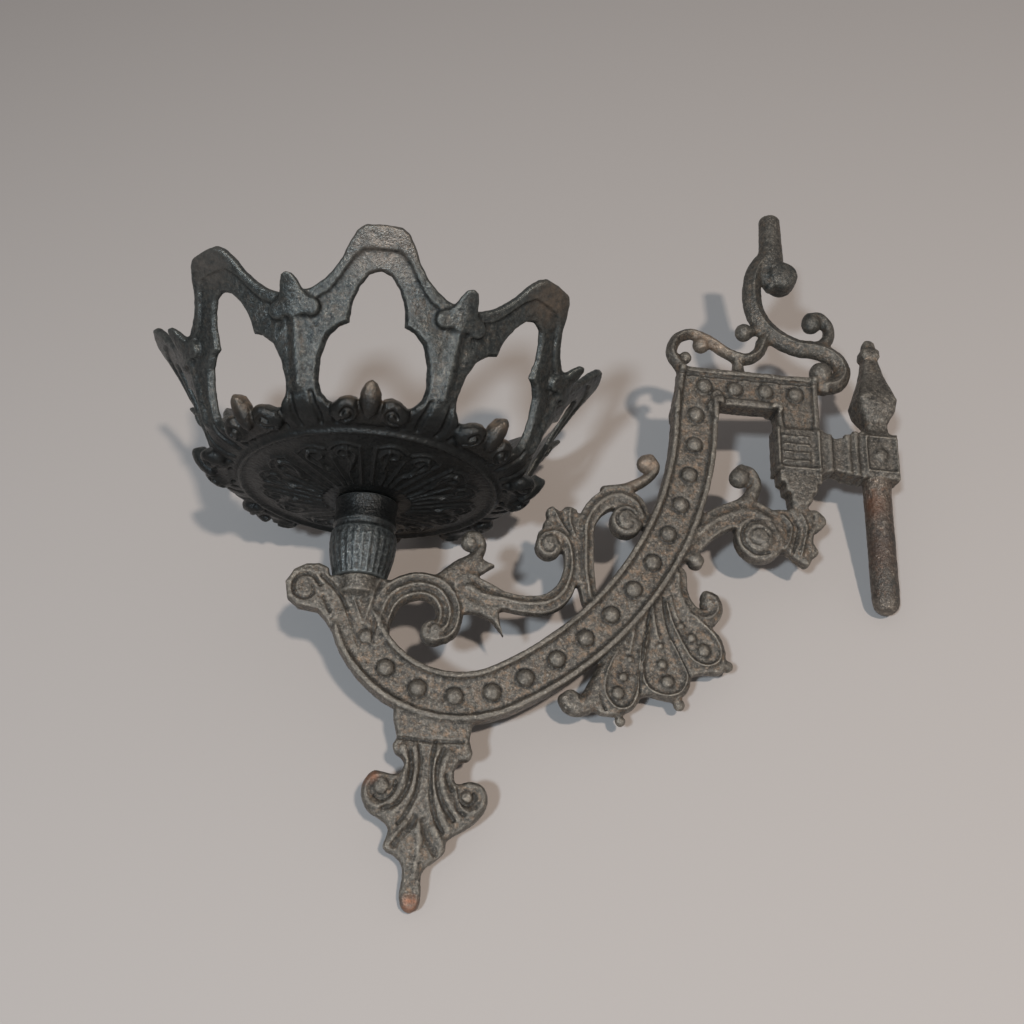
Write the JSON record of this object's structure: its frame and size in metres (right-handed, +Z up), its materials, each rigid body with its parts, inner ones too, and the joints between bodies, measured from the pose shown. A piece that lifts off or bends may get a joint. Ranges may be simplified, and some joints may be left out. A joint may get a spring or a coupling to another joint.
{
  "type": "swing-arm lamp bracket",
  "caption": "Cast-iron swing-arm wall bracket with a pierced crown cup that holds an oil-lamp font, scrollwork arm, drop finial and hinge pin.",
  "frame": {"origin": "on the hinge pin's axis where the pin leaves the underside of the hinge block", "axes": "+Z up along the hinge pin's axis, the arm reaches towards -X, and the moulded faces look along -Y and +Y"},
  "size_m": [0.2445, 0.1456, 0.2429],
  "materials": {
    "arm_iron": "matt black paint on sand-cast iron, dusty in the hollows",
    "cup_iron": "semi-gloss blue-black paint on sand-cast iron",
    "pin_iron": "bare worn iron with light rust",
    "screw_steel": "dull oxidised steel"
  },
  "bodies": {
    "arm": {"arm_bowl": "arm_iron", "arm_sweep": "arm_iron", "top_frame": "arm_iron", "shield_block": "arm_iron", "hinge_block": "arm_iron", "hinge_pin": "pin_iron", "spear_finial": "arm_iron", "seat_volute": "arm_iron", "c_scroll": "arm_iron", "lower_branch": "arm_iron", "upper_branch": "arm_iron", "right_branch": "arm_iron", "palmette_fan": "arm_iron", "drop_finial": "arm_iron", "crest_loop": "arm_iron", "crest_scroll": "arm_iron", "reflector_spigot": "arm_iron", "pedestal": "cup_iron", "cup_screw": "screw_steel", "screw_washer": "screw_steel"},
    "cup": {"cup_floor": "cup_iron", "cup_bowl": "cup_iron", "crown_post_1": "cup_iron", "crown_post_2": "cup_iron", "crown_post_3": "cup_iron", "crown_post_4": "cup_iron", "crown_post_5": "cup_iron", "crown_post_6": "cup_iron", "crown_post_7": "cup_iron", "crown_post_8": "cup_iron"}
  },
  "joints": [
    {"name": "cup_turn", "type": "hinge", "parent": "arm", "child": "cup", "pos_m": [-0.164, 0, -0.02], "axis": [0, 0, 1], "continuous": true}
  ]
}
